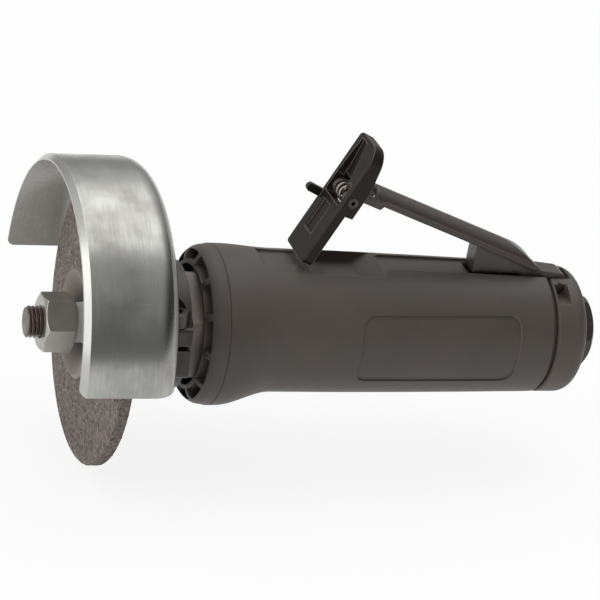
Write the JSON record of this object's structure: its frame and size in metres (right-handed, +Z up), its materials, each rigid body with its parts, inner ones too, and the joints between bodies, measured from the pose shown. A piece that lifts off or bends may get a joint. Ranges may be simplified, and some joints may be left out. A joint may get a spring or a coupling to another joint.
{
  "type": "straight air cut-off grinder",
  "caption": "Hand-held compressed-air straight cut-off grinder with a half-round steel wheel guard, a round grip and a throttle lever with a lock-off latch.",
  "frame": {"origin": "on the spindle axis, where the full thread begins behind the tip's chamfer", "axes": "+X along the spindle to the air inlet at the rear, +Z up towards the throttle lever, -Y towards the clamp screw"},
  "size_m": [0.1613, 0.0896, 0.0939],
  "materials": {
    "dark_steel": "dark oxide",
    "zinc_steel": "zinc plated",
    "guard_steel": "drawn and zinc plated",
    "abrasive": "resin-bonded grit",
    "black_steel": "black oxide",
    "grip_composite": "fine matt texture",
    "cap_composite": "satin",
    "lever_black": "satin black",
    "spring_steel": "bright",
    "pin_steel": "ground",
    "bearing_steel": "polished",
    "motor_iron": "ground",
    "vane_resin": "machined",
    "gasket": "matt",
    "felt": "felt",
    "brass": "machined"
  },
  "bodies": {
    "housing": {"grip_housing": "grip_composite", "exhaust_nose": "grip_composite", "clamp_nut": "black_steel", "exhaust_felt": "felt", "front_bearing_outer": "bearing_steel", "rear_bearing_outer": "bearing_steel", "front_end_plate": "motor_iron", "motor_cylinder": "motor_iron", "rear_end_plate": "motor_iron", "front_gasket": "gasket", "rear_gasket": "gasket", "end_cap": "cap_composite", "end_cap_seal": "gasket", "inlet_bushing": "dark_steel", "inlet_screen": "brass", "valve_bush": "brass", "valve_spring": "spring_steel", "lever_pin": "pin_steel"},
    "spindle": {"spindle": "dark_steel", "wheel_nut": "zinc_steel", "outer_flange": "black_steel", "cutting_wheel": "abrasive", "inner_flange": "black_steel", "rotor": "motor_iron", "rotor_vanes": "vane_resin", "front_bearing_inner": "bearing_steel", "rear_bearing_inner": "bearing_steel"},
    "guard": {"guard_shell": "guard_steel", "guard_hub": "guard_steel", "guard_collar": "black_steel", "guard_screw": "black_steel"},
    "lever": {"throttle_lever": "lever_black", "latch_pin": "pin_steel", "latch_spring": "spring_steel"},
    "latch": {"lock_latch": "lever_black"},
    "throttle": {"throttle_pin": "pin_steel", "throttle_valve": "gasket"}
  },
  "joints": [
    {"name": "spindle_spin", "type": "hinge", "parent": "housing", "child": "spindle", "pos_m": [0, 0, 0], "axis": [1, 0, 0], "continuous": true},
    {"name": "guard_turn", "type": "hinge", "parent": "housing", "child": "guard", "pos_m": [0, 0, 0], "axis": [1, 0, 0], "continuous": true},
    {"name": "lever_press", "type": "hinge", "parent": "housing", "child": "lever", "pos_m": [0.1484, 0, 0.0153], "axis": [0, -1, 0], "range_deg": [0, 6], "stiffness_Nm_per_rad": 0.6, "springref_deg": -14.32},
    {"name": "latch_fold", "type": "hinge", "parent": "lever", "child": "latch", "pos_m": [0.0822, 0, 0.0402], "axis": [0, -1, 0], "range_deg": [0, 94]},
    {"name": "throttle_push", "type": "slide", "parent": "housing", "child": "throttle", "axis": [0, 0, -1], "range_m": [0, 0.0019], "deforming": ["valve_spring"]}
  ],
  "couplings": [
    {"joint": "latch_fold", "follows": "lever_press", "ratio": 15.667},
    {"joint": "throttle_push", "follows": "lever_press", "m_per_rad": 0.018144}
  ]
}
